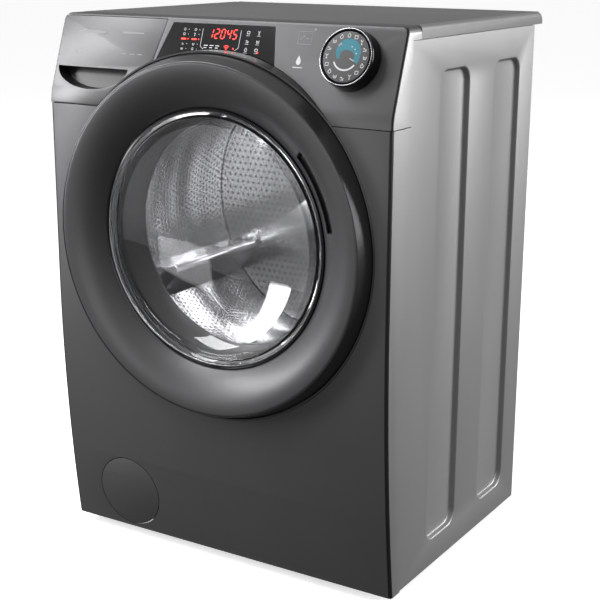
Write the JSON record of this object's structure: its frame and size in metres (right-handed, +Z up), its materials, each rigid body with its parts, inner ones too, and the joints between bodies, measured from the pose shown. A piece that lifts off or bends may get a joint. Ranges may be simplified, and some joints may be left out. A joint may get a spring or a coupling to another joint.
{
  "type": "front load washing machine",
  "caption": "Front load washing machine with a round deep door, sloping console, detergent drawer, turning knob, belt-driven drum and a round filter flap.",
  "frame": {"origin": "on the floor, under the middle of the whole machine's footprint", "axes": "+Z up, -Y out of the door side, +X to the right seen from the front"},
  "size_m": [0.6, 0.542, 0.85],
  "materials": {
    "side_panel_left": "satin anthracite",
    "side_panel_right": "satin anthracite",
    "back_panel": "galvanised sheet",
    "rear_cover": "dark plastic",
    "base_tray": "dark plastic",
    "feet": "black rubber",
    "foot_locknuts": "bright steel",
    "front_panel": "satin anthracite",
    "porthole_surround": "dark plastic",
    "console": "satin anthracite",
    "worktop": "satin laminate",
    "worktop_trim": "satin plastic",
    "display_glass": "black gloss",
    "display_board": "circuit board",
    "control_module": "natural plastic",
    "dial_carrier": "dark plastic",
    "dial_face": "satin silver",
    "programme_knob": "black gloss",
    "drawer_front": "satin anthracite",
    "detergent_tray": "grey polypropylene",
    "softener_insert": "blue plastic",
    "dispenser_housing": "grey polypropylene",
    "dispenser_hose": "dark plastic",
    "inlet_valve": "natural plastic",
    "inlet_hose": "dark plastic",
    "door_outer_ring": "dark gloss",
    "door_dish_ring": "satin dark grey",
    "door_handle_insert": "satin dark grey",
    "door_trim_ring": "bright steel",
    "door_glass": "tinted clear",
    "door_inner_frame": "dark plastic",
    "door_hook": "bright steel",
    "door_hook_pin": "bright steel",
    "door_hinge_block": "dark plastic",
    "door_hinge_pin": "bright steel",
    "door_lock": "natural plastic",
    "gasket": "grey rubber",
    "tub_front": "grey polypropylene",
    "tub_rear": "grey polypropylene",
    "tub_screws": "bright steel",
    "drum": "stainless steel",
    "drum_back": "stainless steel",
    "drum_lifters": "stainless steel",
    "drum_spider": "cast aluminium",
    "drum_shaft": "bright steel",
    "bearings": "bright steel",
    "shaft_seal": "black rubber",
    "drum_pulley": "cast aluminium",
    "drive_belt": "black rubber",
    "motor": "black paint",
    "motor_rotor": "steel laminations",
    "counterweight_front": "concrete grey",
    "counterweight_top": "concrete grey",
    "suspension": "bright steel",
    "heater": "bright steel",
    "drain_pump": "natural plastic",
    "pump_impeller": "steel laminations",
    "filter_plug": "blue plastic",
    "filter_flap": "satin anthracite",
    "flap_hinge": "dark plastic"
  },
  "bodies": {
    "cabinet": {"side_panel_left": "side_panel_left", "side_panel_right": "side_panel_right", "back_panel": "back_panel", "rear_cover": "rear_cover", "base_tray": "base_tray", "feet": "feet", "foot_locknuts": "foot_locknuts", "front_panel": "front_panel", "porthole_surround": "porthole_surround", "console": "console", "worktop": "worktop", "worktop_trim": "worktop_trim", "display_glass": "display_glass", "display_board": "display_board", "control_module": "control_module", "dial_carrier": "dial_carrier", "dial_face": "dial_face", "dispenser_housing": "dispenser_housing", "dispenser_hose": "dispenser_hose", "inlet_valve": "inlet_valve", "inlet_hose": "inlet_hose", "door_hinge_block": "door_hinge_block", "door_hinge_pin": "door_hinge_pin", "door_lock": "door_lock", "gasket": "gasket", "tub_front": "tub_front", "tub_rear": "tub_rear", "tub_screws": "tub_screws", "bearings": "bearings", "shaft_seal": "shaft_seal", "drive_belt": "drive_belt", "motor": "motor", "counterweight_front": "counterweight_front", "counterweight_top": "counterweight_top", "suspension": "suspension", "heater": "heater", "drain_pump": "drain_pump", "flap_hinge": "flap_hinge"},
    "door": {"door_outer_ring": "door_outer_ring", "door_dish_ring": "door_dish_ring", "door_handle_insert": "door_handle_insert", "door_trim_ring": "door_trim_ring", "door_glass": "door_glass", "door_inner_frame": "door_inner_frame", "door_hook_pin": "door_hook_pin"},
    "hook": {"door_hook": "door_hook"},
    "drum": {"drum": "drum", "drum_back": "drum_back", "drum_lifters": "drum_lifters", "drum_spider": "drum_spider", "drum_shaft": "drum_shaft", "drum_pulley": "drum_pulley"},
    "motor_rotor": {"motor_rotor": "motor_rotor"},
    "knob": {"programme_knob": "programme_knob"},
    "drawer": {"drawer_front": "drawer_front", "detergent_tray": "detergent_tray", "softener_insert": "softener_insert"},
    "impeller": {"pump_impeller": "pump_impeller"},
    "filter_plug": {"filter_plug": "filter_plug"},
    "filter_flap": {"filter_flap": "filter_flap"}
  },
  "joints": [
    {"name": "door_hinge", "type": "hinge", "parent": "cabinet", "child": "door", "pos_m": [-0.258, -0.254, 0.53], "axis": [0, 0, -1], "range_deg": [0, 100]},
    {"name": "door_hook_turn", "type": "hinge", "parent": "door", "child": "hook", "pos_m": [0.2325, -0.2445, 0.53], "axis": [0, 0, -1], "range_deg": [0, 8], "stiffness_Nm_per_rad": 0.3},
    {"name": "drum_spin", "type": "hinge", "parent": "cabinet", "child": "drum", "pos_m": [0, 0, 0.53], "axis": [0, 1, 0], "continuous": true},
    {"name": "motor_spin", "type": "hinge", "parent": "cabinet", "child": "motor_rotor", "pos_m": [0.095, 0.1, 0.18], "axis": [0, 1, 0], "continuous": true},
    {"name": "knob_turn", "type": "hinge", "parent": "cabinet", "child": "knob", "pos_m": [0.223, -0.21832, 0.802], "axis": [0, -0.9421, 0.3355], "continuous": true},
    {"name": "drawer_slide", "type": "slide", "parent": "cabinet", "child": "drawer", "axis": [0, 1, 0], "range_m": [-0.18, 0]},
    {"name": "impeller_spin", "type": "hinge", "parent": "cabinet", "child": "impeller", "pos_m": [-0.1835, -0.1, 0.082], "axis": [0, 1, 0], "continuous": true},
    {"name": "filter_plug_turn", "type": "hinge", "parent": "cabinet", "child": "filter_plug", "pos_m": [-0.1835, -0.18, 0.082], "axis": [0, -1, 0], "range_deg": [0, 90]},
    {"name": "filter_flap_hinge", "type": "hinge", "parent": "cabinet", "child": "filter_flap", "pos_m": [-0.2585, -0.21607, 0.082], "axis": [0, 0, -1], "range_deg": [0, 85]}
  ],
  "couplings": [
    {"joint": "motor_spin", "follows": "drum_spin", "ratio": 14}
  ]
}
